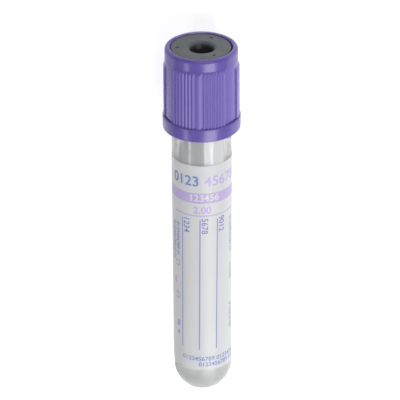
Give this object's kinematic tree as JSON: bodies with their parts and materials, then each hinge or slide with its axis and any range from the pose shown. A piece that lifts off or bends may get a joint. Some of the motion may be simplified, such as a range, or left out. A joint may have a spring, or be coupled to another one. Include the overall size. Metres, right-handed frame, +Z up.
{
  "type": "blood collection tube",
  "caption": "Round-bottomed clear plastic tube with a wrap-round label, closed by a rubber stopper in a ribbed purple shield.",
  "frame": {"origin": "on the ground under the middle of the tube as it lies", "axes": "+X along the tube towards the closure, +Z up, the front of the label faces up"},
  "size_m": [0.084, 0.0164, 0.0164],
  "materials": {
    "clear_plastic": "clear, glossy",
    "label_paper": "white coated paper with pale lilac and blue print",
    "stopper_rubber": "dark grey, matt to satin",
    "purple_plastic": "moulded, satin gloss"
  },
  "bodies": {
    "tube": {"tube": "clear_plastic", "label": "label_paper"},
    "closure": {"stopper": "stopper_rubber", "cap": "purple_plastic"}
  },
  "joints": [
    {"name": "closure_pull", "type": "slide", "parent": "tube", "child": "closure", "axis": [0.9996, 0, 0.0286], "range_m": [0, 0.03]}
  ]
}
